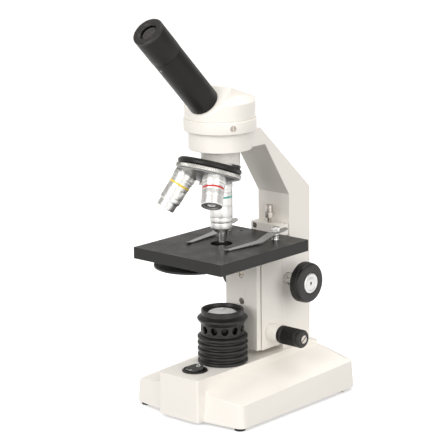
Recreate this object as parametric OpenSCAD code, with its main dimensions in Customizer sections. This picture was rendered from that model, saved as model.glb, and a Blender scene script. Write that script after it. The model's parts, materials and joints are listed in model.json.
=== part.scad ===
// School microscope with an inclined monocular head, triple nosepiece and lamp base.
// +Z is up, +Y is the back, the optical axis is vertical.

/* [Stage] */
// Width of the stage plate
stage_w = 110; // [90:1:135]
// Depth of the stage plate, front to back
stage_d = 125.5; // [110:0.5:150]
// Thickness of the stage plate
stage_t = 11; // [8:0.5:14]
// Height of the stage's top surface above the table
stage_top = 160.7; // [158:0.1:170]
// Radius of the hole in the stage
aperture_r = 10.6; // [8:0.1:13]
// Sideways distance of each clip post from the optical axis
post_x = 30.5; // [26:0.5:38]
// Distance of the clip posts behind the optical axis
post_y = 43; // [35:0.5:50]

/* [Base] */
// Half of the base's width at the back
base_half_rear = 70; // [60:1:84]
// Half of the base's width at the front
base_half_front = 68.5; // [58:1:82]
// Distance from the optical axis to the back edge of the base
base_rear = 120; // [112:1:144]
// Distance from the optical axis to the front face of the centre block
block_front = 63.5; // [58:0.5:75]
// Half of the centre block's width
block_half = 24.5; // [22:0.5:29]
// Height of the centre block's top
block_top = 44.5; // [40:0.5:46]
// Height of the rubber feet
foot_h = 3.5; // [2.5:0.1:5]
// Radius of the rubber feet
foot_r = 5.8; // [5:0.1:8]
// Wall of the hollow base casting
base_wall = 4.5; // [3.5:0.1:6]

/* [Arm] */
// Half of the arm's width
arm_half = 19.6; // [16:0.1:22]
// Distance from the optical axis to the back of the arm
arm_rear = 108.8; // [100:0.1:112]
// Distance from the optical axis to the front of the upper column
arm_front = 77.1; // [76:0.1:82]
// Top of the arm's head seat
seat_top = 270.3; // [266:0.1:290]
// Radius of the arm's head seat
seat_r = 30; // [28:0.1:36]

/* [Head] */
// Radius of the head casting
head_r = 33.4; // [31:0.1:40]
// Radius of the clamping collar
collar_r = 34.4; // [32:0.1:42]
// Height of the clamping collar
collar_h = 11.8; // [9:0.1:14]
// Radius of the eyepiece tube
tube_r = 14.7; // [13.5:0.1:16]
// Radius of the bore that takes the eyepiece
tube_bore_r = 11.6; // [11.6:0.05:12]
// Distance along the tube's axis from the optical axis to the eyepiece's end
tube_reach = 134.6; // [120:0.1:161]
// Length of the eyepiece above the tube
eyepiece_len = 32; // [26:0.5:38]

/* [Nosepiece] */
// Tilt of the turret axis, and so of each objective against it
turret_tilt = 20; // [15:0.5:22]
// Distance of each objective from the turret axis
turret_pitch = 20; // [18:0.1:23]
// Height of the objective shoulder on the optical axis
shoulder_z = 220.5; // [218:0.1:236]
// Radius of the turret's knurled ring
turret_r = 31; // [30:0.1:36]

/* [Focus] */
// Height of the coarse focus shaft
coarse_z = 114.5; // [104:0.5:124]
// Radius of the coarse knobs
coarse_knob_r = 19.7; // [15:0.1:23]
// Height of the fine focus shaft
fine_z = 66; // [62:0.5:78]
// Radius of the fine knobs
fine_knob_r = 8.9; // [7:0.1:11]
// Lift of the fine focus cam in one turn
cam_lift = 1.6; // [1:0.1:2]
// Gear module of the coarse rack and pinion
gear_module = 0.8; // [0.66:0.02:0.96]

/* [Lamp] */
// Radius of the ribbed lamp base
lamp_r = 24.2; // [22:0.1:26]
// Height of the lamp cover's top rim above the table
lamp_top = 96.7; // [90:0.1:110]
// Radius of the round switch
switch_r = 12.2; // [10:0.1:13]

/* [Fits] */
// Radial clearance of a running shaft
running = 0.05; // [0.02:0.01:0.1]
// Gap between faces that slide past each other
slide_gap = 0.15; // [0.1:0.01:0.25]
// Gap between faces of one body that only touch
seat_gap = 0.05; // [0.02:0.01:0.1]

/* [Hidden] */
$fn = 64;
eps = 0.01;

cream = "antiquewhite";
black = "dimgray";
steel = "silver";
brass = "goldenrod";
glass = "lightblue";

// The whole object is centred over its own box, so the optical axis lies a little behind the origin's line.
tube_dir = sqrt(0.5);
eye_r = tube_r + 0.25;
eye_chamfer = 1.2;
gland_head = 2;
front_reach = (tube_reach + eye_r - eye_chamfer) * tube_dir;
optic_y = (front_reach - base_rear - gland_head) / 2;

// Base
base_bottom = foot_h;
wing_front_inner = -(block_front - 6.5);
wing_front_outer = -(block_front - 11.5);
wing_z_front = 25;
wing_z_rear = 30;
wing_z_inner_front = 32;
wing_z_inner_rear = block_top - 4.5;
base_corner = 8;
draft = 2;
block_rear = base_rear - 5;
ceiling = 6;
plate_t = 1.5;
foot_x = base_half_front - 9;
foot_front_y = wing_front_outer + 8;
foot_rear_y = base_rear - 16;
foot_screw_r = 2;
foot_pts = [[-foot_x, foot_front_y], [foot_x, foot_front_y], [-foot_x, foot_rear_y], [foot_x, foot_rear_y]];
gland_x = -35;
gland_z = 17;
wire_r = 1.2;
gland_r = 5;
arm_bolt_r = 3;
arm_bolt_y = [80, 98];

// Focus slides
stage_rear = stage_d / 2;
stage_bottom = stage_top - stage_t;
carriage_front = 27.8;
carriage_back = 33.4;
block_face = 35.2;
block_back = 66.5;
arm_face = block_back + 0.2;
slide_bottom = block_top + 5.5;
arm_step = stage_bottom + 3;
focus_top = stage_bottom - 2.2;
tongue_in = 9;
tongue_out = 11;
fine_in = 7;
fine_out = 9;
fine_back = 39;
fine_flare = (fine_out - fine_in) * (block_face - 1 - carriage_back) / (fine_back - carriage_back);

// Coarse focus
coarse_teeth = 13;
pinion_pitch_r = gear_module * coarse_teeth / 2;
rack_pitch_y = block_back + 1.8;
coarse_y = rack_pitch_y + pinion_pitch_r;
shaft_r = 3.5;
// The tongue's back stops short of the pinion's shaft
tongue_depth = coarse_y - shaft_r - 0.4 - block_back;
bush_r = 6.3;
collar_end = arm_half + 10.4;
knob_x = 38.2;
knob_w = 11.3;
insert_r = 9.9;

// Fine focus
fine_y = 48.4;
cam_r = 6.8;
cam_half = 3;
fine_boss_r = 8.5;
fine_boss_x = 32.5;
fine_knob_len = 27.8;
fine_end = fine_boss_x + 0.3 + fine_knob_len;
fine_seat = fine_end - 8.4;

// Slide cap
cap_front = block_back - 1.9;
cap_back = arm_front - 1.6;
cap_bottom = stage_bottom + 8.3;
cap_top = cap_bottom + 10.2;
cap_screw_x = 14.1;
cap_screw_z = cap_top - 3.7;
cap_wall = 2.9;
stop_y = 70.4;
stop_r = 2;

// Nosepiece frame: the turret axis passes through turret_y, turret_z at the objective shoulders' plane
turret_y = -turret_pitch * cos(turret_tilt);
turret_z = shoulder_z + turret_pitch * sin(turret_tilt);
ring_low = 4.2;
ring_high = 8.6;
disc_low = 9;
disc_high = 14.5;
pivot_r = 4;
objective_bore_r = 9;
light_r = 8.5;
stub_r = 18.5;

// Head
seat_bottom = seat_top - 17.4;
spigot_r = 24;
spigot_depth = 10;
head_bottom = seat_top + 0.3;
tube_z = seat_top + 6.9;
face_c = tube_z + 43.6;
roof_z = seat_top + 39.7;
roof_slope = 0.365;
housing_half = 22;
shoulder_low = seat_top + 28.2;
shoulder_high = seat_top + 34;
screw_angle = -27.5;
tube_foot = 31;
tube_end = tube_reach - eyepiece_len;
tube_spigot_r = 13.2;

// Lamp
rib_first = block_top + 1.7;
rib_pitch = 5.9;
rib_count = 5;
rib_valley = 2.3;
rib_top = rib_first + (rib_count - 1) * rib_pitch + 2.2;
cover_neck_top = rib_top + 11.2;
flange_top = cover_neck_top + 8.6;
lens_seat = flange_top + 0.1;
neck_r = lamp_r - 3.3;
rim_r = lamp_r - 3.85;
vents = 12;
vent_z = 78.7;
vent_r = 3.7;
switch_y = -40;

// ---------- shared shapes ----------

// Everything is modelled about the optical axis and shifted once.
module on_axis() {
    translate([0, optic_y, 0]) children();
}

module mirrored() {
    children();
    mirror([1, 0, 0]) children();
}

// A cylinder along +X from x0 to x1 at height z and depth y
module x_cyl(r, x0, x1, y, z) {
    translate([x0, y, z]) rotate([0, 90, 0]) cylinder(r = r, h = x1 - x0);
}

// A cylinder along +Y from y0 to y1
module y_cyl(r, y0, y1, x, z) {
    translate([x, y0, z]) rotate([-90, 0, 0]) cylinder(r = r, h = y1 - y0);
}

// A box between two corners
module span(low, high) {
    translate(low) cube(high - low);
}

// A profile in the Y-Z plane, extruded symmetrically along X
module side_profile(points, half) {
    translate([-half, 0, 0]) rotate([90, 0, 90]) linear_extrude(2 * half) polygon(points);
}

// Corner points of an arc from angle a0 to a1
function arc(cx, cy, r, a0, a1, n) =
    [for (i = [0:n]) let (a = a0 + (a1 - a0) * i / n) [cx + r * cos(a), cy + r * sin(a)]];

// Places children on the turret axis, with +Z up along it
module on_turret() {
    translate([0, turret_y, turret_z]) rotate([-turret_tilt, 0, 0]) children();
}

// Places children at objective k's shoulder, with -Z pointing out of the turret
module at_objective(k) {
    on_turret() rotate([0, 0, 120 * k]) translate([0, turret_pitch, 0])
        rotate([turret_tilt, 0, 0]) children();
}

// Places children on the eyepiece tube's axis, with +Z along it away from the head
module on_tube() {
    translate([0, 0, tube_z]) rotate([45, 0, 0]) children();
}

// A slotted screw head and shaft: +Z is out of the head
module slotted_screw(head_r, head_h, shaft_r, shaft_len) {
    difference() {
        cylinder(r = head_r, h = head_h);
        translate([-head_r - 1, -head_r / 8, head_h * 0.55]) cube([2 * head_r + 2, head_r / 4, head_h]);
    }
    translate([0, 0, -shaft_len]) cylinder(r = shaft_r, h = shaft_len + eps);
}

// ---------- stand ----------

module wings_solid(inset, low, drop) {
    lean = draft * (wing_z_inner_front - drop - low) / (wing_z_front - drop - low);
    hull() {
        for (side = [-1, 1]) {
            translate([side * (base_half_front - base_corner), wing_front_outer + base_corner, low])
                cylinder(r1 = base_corner - inset, r2 = base_corner - inset - draft,
                    h = wing_z_front - drop - low, $fn = 32);
            translate([side * (base_half_rear - base_corner), base_rear - base_corner, low])
                cylinder(r1 = base_corner - inset, r2 = base_corner - inset - draft,
                    h = wing_z_rear - drop - low, $fn = 32);
            translate([side * block_half - 0.5, wing_front_inner + inset, low]) cube([1, 1, 1]);
            translate([side * block_half - 0.5, wing_front_inner + inset + lean, low])
                cube([1, 1, wing_z_inner_front - drop - low]);
            translate([side * block_half - 0.5, block_rear - inset - 1, low])
                cube([1, 1, wing_z_inner_rear - drop - low]);
        }
    }
}

module block_solid(inset, low, high) {
    hull() {
        for (side = [-1, 1]) {
            translate([side * (block_half - 2), 2 - block_front, low])
                cylinder(r1 = 2.6 - min(inset, 2.5), r2 = 2.1 - min(inset, 2), h = high - low, $fn = 32);
            translate([side * (block_half - 2), block_rear - 2, low])
                cylinder(r1 = 2.6 - min(inset, 2.5), r2 = 2.1 - min(inset, 2), h = high - low, $fn = 32);
        }
    }
}

module base_casting() {
    on_axis() color(cream) difference() {
        union() {
            difference() {
                union() {
                    wings_solid(0, base_bottom, 0);
                    block_solid(0, base_bottom, block_top);
                }
                wings_solid(base_wall, base_bottom - 1, base_wall);
                span([base_wall - block_half, base_wall - block_front, base_bottom - 1],
                    [block_half - base_wall, block_rear - base_wall, block_top - ceiling]);
            }
            for (p = foot_pts)
                translate([p[0], p[1], base_bottom + plate_t]) cylinder(r = foot_r, h = 17);
        }
        for (p = foot_pts)
            translate([p[0], p[1], 0]) cylinder(r = foot_screw_r + running, h = 16);
        translate([0, 0, block_top - ceiling - 1]) cylinder(r = 10.5, h = ceiling + 2);
        translate([0, switch_y, block_top - ceiling - 1]) cylinder(r = switch_r - 1.7, h = ceiling + 2);
        for (y = arm_bolt_y)
            translate([0, y, block_top - ceiling - 1]) cylinder(r = arm_bolt_r + running, h = ceiling + 2);
        y_cyl(gland_r + running, base_rear - 20, base_rear + 1, gland_x, gland_z);
    }
}

module plate_outline(inset) {
    translate([inset - block_half, inset - block_front]) square([2 * (block_half - inset), 40]);
    polygon(concat(
        arc(base_half_front - base_corner, wing_front_outer + base_corner, base_corner - inset, -90, 0, 8),
        arc(base_half_rear - base_corner, base_rear - base_corner, base_corner - inset, 0, 90, 8),
        arc(base_corner - base_half_rear, base_rear - base_corner, base_corner - inset, 90, 180, 8),
        arc(base_corner - base_half_front, wing_front_outer + base_corner, base_corner - inset,
            180, 270, 8)));
}

module base_plate() {
    on_axis() color(black) difference() {
        translate([0, 0, base_bottom]) linear_extrude(plate_t) plate_outline(base_wall + 0.3);
        for (p = foot_pts)
            translate([p[0], p[1], 0]) cylinder(r = foot_screw_r + running, h = 12);
    }
}

module rubber_feet() {
    on_axis() color(black) for (p = foot_pts) translate([p[0], p[1], 0]) difference() {
        cylinder(r1 = foot_r - 0.6, r2 = foot_r, h = foot_h);
        translate([0, 0, -1]) cylinder(r = 3.6, h = 3);
        cylinder(r = foot_screw_r + running, h = foot_h + 1);
    }
}

module foot_screws() {
    on_axis() color(steel) for (p = foot_pts) translate([p[0], p[1], 2]) mirror([0, 0, 1])
        slotted_screw(3.4, 1.4, foot_screw_r, 12);
}

arm_outline = concat(
    [[arm_face, block_top], [arm_face, arm_step], [arm_front, arm_step], [arm_front, 197.6],
    [41.7, seat_bottom - 0.6], [10, seat_bottom - 0.6], [10, seat_top - 0.8]],
    arc(33.5, seat_top - 4.8, 4, 90, 43.5, 5),
    arc(arm_rear - 8, 197.2, 8, 43.5, 0, 6),
    [[arm_rear, block_top]]);

module tongue_section(gap, back_gap) {
    polygon([[-tongue_in - gap, block_back - 1], [-tongue_in - gap, block_back],
        [-tongue_out - gap, block_back + tongue_depth + back_gap],
        [tongue_out + gap, block_back + tongue_depth + back_gap],
        [tongue_in + gap, block_back], [tongue_in + gap, block_back - 1]]);
}

module arm_casting() {
    on_axis() color(cream) difference() {
        union() {
            side_profile(arm_outline, arm_half);
            translate([0, 0, seat_bottom]) cylinder(r = seat_r, h = seat_top - seat_bottom, $fn = 96);
            difference() {
                translate([0, 0, shoulder_z - 10])
                    cylinder(r = stub_r, h = seat_bottom - shoulder_z + 10 + eps);
                on_turret() translate([-60, -60, disc_high - 100]) cube([120, 120, 100]);
            }
        }
        translate([0, 0, seat_top - spigot_depth - 1]) cylinder(r = spigot_r + running, h = 40);
        translate([0, 0, shoulder_z - 10]) cylinder(r = light_r, h = 80);
        translate([0, 0, block_top - 1]) linear_extrude(arm_step - block_top + 2)
            tongue_section(slide_gap, slide_gap);
        x_cyl(pinion_pitch_r + gear_module + 1.2, -5.5, 5.5, coarse_y, coarse_z);
        x_cyl(bush_r - 0.3 + seat_gap, -arm_half - 1, arm_half + 1, coarse_y, coarse_z);
        for (y = arm_bolt_y) translate([0, y, 0]) cylinder(r = arm_bolt_r + running, h = block_top + 18);
        span([-arm_half - 1, 0, 0], [arm_half + 1, 200, block_top]);
    }
}

module arm_bolts() {
    on_axis() color(steel) for (y = arm_bolt_y) translate([0, y, block_top - ceiling]) {
        mirror([0, 0, 1]) difference() {
            cylinder(r = 5.6, h = 4, $fn = 6);
            translate([0, 0, 2.5]) cylinder(r = 2.4, h = 4, $fn = 6);
        }
        cylinder(r = arm_bolt_r, h = ceiling + 17);
    }
}

// ---------- lamp and electrics ----------

module lamp_base_ring() {
    on_axis() color(black) rotate_extrude($fn = 96) polygon(concat(
        [[neck_r - 1.9, block_top], [lamp_r - 0.8, block_top]],
        [for (i = [0:rib_count - 1]) let (z = rib_first + i * rib_pitch)
            each [[lamp_r, z - 1.1], [lamp_r, z + 1.1], [lamp_r - rib_valley, z + 2.1],
                [lamp_r - rib_valley, i == rib_count - 1 ? rib_top : z + 3.8]]],
        [[neck_r - 1.9, rib_top]]));
}

module lamp_holder() {
    on_axis() color("ivory") difference() {
        union() {
            translate([0, 0, 30]) cylinder(r = 10.4, h = 28);
            translate([0, 0, block_top]) cylinder(r = 14, h = 2.5);
        }
        translate([0, 0, 42]) cylinder(r = 7, h = 20);
    }
}

module lamp_bulb() {
    on_axis() color(glass) {
        translate([0, 0, 46]) cylinder(r = 6.8, h = 14);
        translate([0, 0, 60 - eps]) cylinder(r1 = 6.2, r2 = 7.4, h = 8);
        translate([0, 0, 71.5]) sphere(r = 8.2);
    }
}

module lamp_mirror() {
    on_axis() color(steel) rotate_extrude() polygon([[9.2, 62], [9.2, 58.05], [10.2, 58.05],
        [10.2, 61.2], [17, 80.5], [17, 81.5], [16.2, 81.5]]);
}

module lamp_cover() {
    spigot = neck_r - 1.9 - slide_gap;
    on_axis() color(black) difference() {
        rotate_extrude($fn = 96) polygon([[spigot - 1.4, rib_top - 9], [spigot, rib_top - 9],
            [spigot, rib_top + 0.2], [neck_r, rib_top + 0.2], [neck_r, cover_neck_top],
            [lamp_r, cover_neck_top + 4], [lamp_r, cover_neck_top + 5.6], [rim_r, flange_top],
            [rim_r, lamp_top], [rim_r - 1.7, lamp_top], [rim_r - 2.6, lens_seat + 1.5],
            [rim_r - 5.2, lens_seat + 1.5], [rim_r - 5.2, lens_seat], [spigot - 1.4, lens_seat]]);
        for (i = [0:vents - 1])
            rotate([0, 0, 360 / vents * (i + 0.5) + 3]) x_cyl(vent_r, 10, lamp_r + 4, 0, vent_z);
    }
}

module lamp_lens() {
    on_axis() color(glass) rotate_extrude($fn = 96) polygon(concat([[0, lens_seat - 1.6],
        [15.4, lens_seat - 1.6], [15.4, lens_seat - seat_gap]],
        [for (i = [0:8]) [13.6 * cos(i * 11.25), lens_seat + 0.4 + 3.8 * sin(i * 11.25)]]));
}

module switch_bezel() {
    well = switch_r - 2.5;
    on_axis() color(black) translate([0, switch_y, 0]) difference() {
        union() {
            translate([0, 0, block_top]) cylinder(r1 = switch_r, r2 = switch_r - 1, h = 1.8);
            translate([0, 0, block_top - 18]) cylinder(r = switch_r - 1.8, h = 18 + eps);
            for (x = [-5, 0, 5]) span([x - 1, -2.4, block_top - 25], [x + 1, 2.4, block_top - 17]);
        }
        translate([0, 0, block_top - 14]) cylinder(r = well, h = 20);
        x_cyl(1.2 + running, -well - 0.55, well + 0.55, 0, block_top - 1);
    }
}

module switch_rocker() {
    r = switch_r - 2.5 - 0.35;
    on_axis() color(black) translate([0, switch_y, block_top - 1]) {
        rotate([8, 0, 0]) intersection() {
            translate([0, 0, -6]) cylinder(r = r - 0.6, h = 14);
            side_profile([[-r, 4.6], [-r, -1], [-3, -5.5], [3, -5.5], [r, -1], [r, 4.6], [5, 3.7], [0, 3.3],
                [-5, 3.7]], r);
        }
        x_cyl(1.2, -r - 0.8, r + 0.8, 0, 0);
    }
}

module wire(points) {
    for (i = [0:len(points) - 2]) let (v = points[i + 1] - points[i], n = norm(v))
        translate(points[i]) rotate([0, acos(v[2] / n), atan2(v[1], v[0])])
            cylinder(r = wire_r, h = n, $fn = 24);
    // The bends are a little thicker than the wire, so that they meet it in a full circle
    for (i = [1:len(points) - 2]) translate(points[i]) sphere(r = wire_r + 0.15, $fn = 24);
}

module wiring() {
    on_axis() color("saddlebrown") {
        wire([[gland_x - 1.25, base_rear - 8, gland_z], [gland_x - 1.25, 60, gland_z], [-9, 6, 20],
            [-4, 0, 28.5]]);
        wire([[gland_x + 1.25, base_rear - 8, gland_z], [gland_x + 3, 62, gland_z], [5, -30, 15],
            [5, switch_y, 18.2]]);
        wire([[0, switch_y, 18.2], [0, -20, 15], [4, 0, 28.5]]);
    }
}

module cable_gland() {
    on_axis() color(black) difference() {
        union() {
            y_cyl(gland_r, base_rear - 12, base_rear - 1, gland_x, gland_z);
            y_cyl(gland_r + 1.8, base_rear - 12, base_rear - 8.5, gland_x, gland_z);
            y_cyl(gland_r + 2, base_rear + 0.02, base_rear + gland_head, gland_x, gland_z);
            y_cyl(gland_r, base_rear - 1.5, base_rear + 1, gland_x, gland_z);
        }
        y_cyl(2.6, base_rear - 30, base_rear + 5, gland_x, gland_z);
    }
}

// ---------- nosepiece ----------

module nosepiece_disc() {
    on_axis() color(black) difference() {
        on_turret() rotate_extrude($fn = 96) polygon([[pivot_r + running, disc_low],
            [turret_r - 1.5, disc_low], [turret_r - 0.6, disc_low + 1], [turret_r - 0.6, disc_high - 2.4],
            [turret_r - 3, disc_high], [pivot_r + running, disc_high]]);
        translate([0, 0, shoulder_z - 10]) cylinder(r = light_r, h = 60);
    }
}

module nosepiece_pivot() {
    on_axis() color(steel) difference() {
        on_turret() {
            translate([0, 0, -5.1]) cylinder(r = pivot_r, h = disc_high + 5.1);
            translate([0, 0, -8]) cylinder(r = 6.2, h = 2.65);
        }
        on_turret() translate([-7, -0.7, -8.5]) cube([14, 1.4, 1.5]);
    }
}

module detent_spring() {
    on_axis() color(black) on_turret() rotate([0, 0, -66]) difference() {
        union() {
            span([-4, turret_r - 9, disc_high + 0.02], [4, turret_r - 3.2, disc_high + 2.4]);
            span([-3, turret_r - 3.3, disc_high + 0.02], [3, turret_r - 2.2, disc_high + 2.4]);
        }
        translate([0, turret_r - 6.2, disc_high - 1]) cylinder(r = 1.2, h = 1.8);
    }
}

module turret_shell() {
    inner_r = turret_r - 3.4;
    on_axis() color("darkgray") difference() {
        union() {
            on_turret() rotate_extrude($fn = 96) polygon([[pivot_r + running, -5.2], [7.5, -5.2],
                [turret_r - 1, 3.6], [turret_r - 0.6, ring_low], [turret_r - 1.8, ring_low],
                [turret_r - 1.8, ring_high], [inner_r, ring_high], [inner_r, 5.6], [8, -1.8],
                [8, ring_high], [pivot_r + running, ring_high]]);
            for (k = [0:2]) at_objective(k) translate([0, 0, -0.9])
                cylinder(r = 10.9, h = 1.2);
        }
        for (k = [0:2]) at_objective(k) translate([0, 0, -2])
            cylinder(r = objective_bore_r + seat_gap, h = 9);
    }
}

module turret_ring() {
    on_axis() color(steel) on_turret() rotate_extrude($fn = 96)
        polygon([[turret_r - 1.8 + seat_gap, ring_low + seat_gap], [turret_r - 0.4, ring_low + seat_gap],
            [turret_r, ring_low + 0.5], [turret_r, ring_high - 0.5], [turret_r - 0.5, ring_high],
            [turret_r - 1.8 + seat_gap, ring_high]]);
}

// Outer profile of an objective, from its shoulder down, with a bore for the light
module objective_body(profile, bore_r, tip) {
    rotate_extrude($fn = 96) polygon(concat([[bore_r, 4], [objective_bore_r, 4], [objective_bore_r, -0.9]],
        profile, [[bore_r, -tip]]));
}

module objective_4x() {
    on_axis() color(steel) at_objective(2) objective_body([[11.1, -0.95], [11.1, -5.6], [10.2, -6.2],
        [10.2, -27.4], [9.6, -28.2]], 6, 28.2);
}

module objective_10x() {
    on_axis() color(steel) at_objective(1) objective_body([[11.1, -0.95], [11.1, -5.6], [10.1, -6.2],
        [10.1, -29.8], [8.9, -31.4], [8.9, -37], [8.2, -38.3]], 4.5, 38.3);
}

nose_r = 4.3;
nose_top = 44;
nose_tip = shoulder_z - stage_top - 1.8;
nose_stop = 2.5;

module objective_40x() {
    on_axis() color(steel) at_objective(0) rotate_extrude($fn = 96) polygon([[5, 4], [objective_bore_r, 4],
        [objective_bore_r, -0.95], [11.1, -0.95], [11.1, -5.6], [10.9, -6.2], [10.9, -37.4], [10, -38.2],
        [10.1, -38.9], [10.1, -44.2], [6.2, -nose_top - 4], [nose_r + running, -nose_top - 4],
        [nose_r + running, -nose_top], [7 + slide_gap, -nose_top], [7 + slide_gap, -24], [5, -24]]);
}

module objective_nose() {
    on_axis() color(steel) at_objective(0) rotate_extrude() polygon([[2, -nose_top + 8],
        [7, -nose_top + 8], [7, -nose_top + 0.1], [nose_r, -nose_top + 0.1], [nose_r, 0.8 - nose_tip],
        [nose_r - 1.2, -nose_tip], [2, -nose_tip]]);
}

module nose_lens() {
    on_axis() color(glass) at_objective(0) translate([0, 0, 0.3 - nose_tip])
        cylinder(r = 2 - seat_gap, h = 3);
}

module objective_lenses() {
    on_axis() color(glass) {
        at_objective(2) translate([0, 0, -26]) cylinder(r = 6 - seat_gap, h = 3);
        at_objective(1) translate([0, 0, -36.8]) cylinder(r = 4.5 - seat_gap, h = 3);
    }
}

// Helical spring: rings of points swept along a helix whose ends are drawn close
spring_turns = 5;
spring_steps = 14;
spring_r = 5.6;
spring_wire = 0.45;
spring_low = -nose_top + 8.5;
spring_high = -24.5;

module objective_spring() {
    steps = spring_turns * spring_steps;
    rings = [for (i = [0:steps]) let (a = 360 * i / spring_steps, z = spring_low +
            (spring_high - spring_low) * i / steps)
        [for (j = [0:7]) let (b = 45 * j) [(spring_r + spring_wire * cos(b)) * cos(a),
            (spring_r + spring_wire * cos(b)) * sin(a), z + spring_wire * sin(b)]]];
    faces = concat([[for (j = [0:7]) j]], [[for (j = [7:-1:0]) steps * 8 + j]],
        [for (i = [0:steps - 1]) for (j = [0:7]) let (k = (j + 1) % 8)
            each [[i * 8 + j, (i + 1) * 8 + j, (i + 1) * 8 + k], [i * 8 + j, (i + 1) * 8 + k, i * 8 + k]]]);
    on_axis() color(steel) at_objective(0) polyhedron([for (ring = rings) each ring], faces);
}

// ---------- head ----------

// Upper face of the head: the tube face slopes down to the front, the roof down to the back
module head_envelope() {
    half = head_r + 5;
    ridge_y = (roof_z - face_c) / (1 + roof_slope);
    side_profile([[-half, head_bottom], [half, head_bottom], [half, roof_z - roof_slope * half],
        [ridge_y, roof_z - roof_slope * ridge_y], [-half, face_c - half]], half);
}

// Everything below a sloping shoulder, and the flat-sided prism housing that stands on it
module shoulder_and_housing() {
    slope = (head_r - housing_half) / (shoulder_high - shoulder_low);
    cylinder(r = head_r + 3 * slope, h = shoulder_low - 3 + eps);
    translate([0, 0, shoulder_low - 3])
        cylinder(r1 = head_r + 3 * slope, r2 = housing_half, h = shoulder_high - shoulder_low + 3, $fn = 96);
    span([-housing_half, -50, shoulder_low - 2], [housing_half, 50, seat_top + 60]);
}

module head_casting() {
    on_axis() color(cream) difference() {
        union() {
            intersection() {
                head_envelope();
                translate([0, 0, head_bottom]) union() {
                    cylinder(r = collar_r - 3, h = collar_h + 0.1, $fn = 96);
                    translate([0, 0, collar_h]) cylinder(r = head_r, h = 60, $fn = 96);
                }
                shoulder_and_housing();
            }
            translate([0, 0, seat_top - spigot_depth]) cylinder(r = spigot_r, h = spigot_depth + 1);
        }
        translate([0, 0, seat_top - spigot_depth - 1]) cylinder(r = 17, h = 30);
        on_tube() cylinder(r = tube_bore_r, h = 60);
        on_tube() translate([0, 0, tube_foot - 12]) cylinder(r = tube_spigot_r + seat_gap, h = 60);
    }
}

module head_collar() {
    on_axis() color(cream) translate([0, 0, head_bottom]) difference() {
        cylinder(r = collar_r, h = collar_h - seat_gap, $fn = 96);
        translate([0, 0, -1]) cylinder(r = collar_r - 3 + seat_gap, h = 20, $fn = 96);
        rotate([0, 0, screw_angle]) x_cyl(3, 20, 40, 0, collar_h / 2);
    }
}

module head_screws() {
    on_axis() color(steel) {
        translate([0, 0, head_bottom + collar_h / 2]) rotate([0, 0, screw_angle])
            translate([collar_r - 2.9, 0, 0])
            rotate([0, 90, 0]) slotted_screw(2.95, 3.1, 1.4, 0);
        on_tube() translate([0, -tube_bore_r - 0.15, tube_end - 7]) rotate([90, 0, 0])
            slotted_screw(1.2, tube_r - tube_bore_r + 0.1, 0.8, 0);
    }
}

module prism() {
    on_axis() color(glass) side_profile([[-11, seat_top], [11, seat_top], [11, seat_top + 9],
        [5, seat_top + 17.5], [-11, seat_top + 6]], 12.5);
}

module eyepiece_tube() {
    on_axis() color(black) on_tube() difference() {
        union() {
            translate([0, 0, tube_foot - 11.5]) cylinder(r = tube_spigot_r, h = 12);
            translate([0, 0, tube_foot]) cylinder(r1 = tube_r - 1, r2 = tube_r, h = 1 + eps, $fn = 96);
            translate([0, 0, tube_foot + 1]) cylinder(r = tube_r, h = tube_end - tube_foot - 1, $fn = 96);
        }
        translate([0, 0, tube_foot - 12]) cylinder(r = tube_bore_r, h = tube_reach);
        translate([0, -tube_bore_r + 2, tube_end - 7]) rotate([90, 0, 0]) cylinder(r = 1.2 + seat_gap, h = 9);
    }
}

module eyepiece_barrel() {
    on_axis() color(black) on_tube() rotate_extrude($fn = 96) polygon([[9.4, tube_end - 24],
        [tube_bore_r - running, tube_end - 24], [tube_bore_r - running, tube_end + 0.3],
        [eye_r, tube_end + 0.3], [eye_r, tube_reach - 3], [12, tube_reach - 3], [12, tube_reach - 9],
        [9.4, tube_reach - 9]]);
}

module eyepiece_cap() {
    on_axis() color(black) on_tube() rotate_extrude($fn = 96) polygon([[7.8, tube_reach - 3 + seat_gap],
        [eye_r, tube_reach - 3 + seat_gap], [eye_r, tube_reach - eye_chamfer],
        [eye_r - eye_chamfer, tube_reach], [9.4, tube_reach], [7.8, tube_reach - 1.8]]);
}

module eyepiece_lenses() {
    on_axis() color(glass) on_tube() {
        translate([0, 0, tube_reach - 8.8]) cylinder(r = 11.9, h = 3);
        translate([0, 0, tube_reach - 5.85]) cylinder(r1 = 11.9, r2 = 8.2, h = 2.5);
        translate([0, 0, tube_end - 22]) cylinder(r = 9.3, h = 3);
    }
}

// ---------- stage and carriage ----------

module stage_plate() {
    on_axis() color(black) difference() {
        span([-stage_w / 2, -stage_rear, stage_bottom], [stage_w / 2, stage_rear, stage_top]);
        translate([0, 0, stage_bottom - 1]) cylinder(r = aperture_r, h = stage_t + 2);
        translate([0, 0, stage_bottom - 1]) cylinder(r = aperture_r + 3.5, h = stage_t - 2.5);
        for (side = [-1, 1]) {
            translate([side * post_x, post_y, stage_bottom - 1])
                cylinder(r = 2.5 + seat_gap, h = stage_t + 2);
            translate([side * hole_x, hole_y, stage_bottom - 1]) cylinder(r = hole_r, h = stage_t + 2);
            translate([side * stage_screw_x, stage_screw_y, stage_bottom - 1]) cylinder(r = 2.05, h = 8);
        }
        translate([pivot_x, pivot_y, stage_bottom - 1]) cylinder(r = 2.05, h = 8);
    }
}

hole_x = 19.2;
hole_y = 50.7;
hole_r = 1.5;
stage_screw_x = 13;
stage_screw_y = 21.4;
pivot_x = -11;
pivot_y = -29;
disc_t = 2;
disc_z = stage_bottom - 6.4;
diaphragm_r = 36.5;
port_pitch = norm([pivot_x, pivot_y]);

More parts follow.
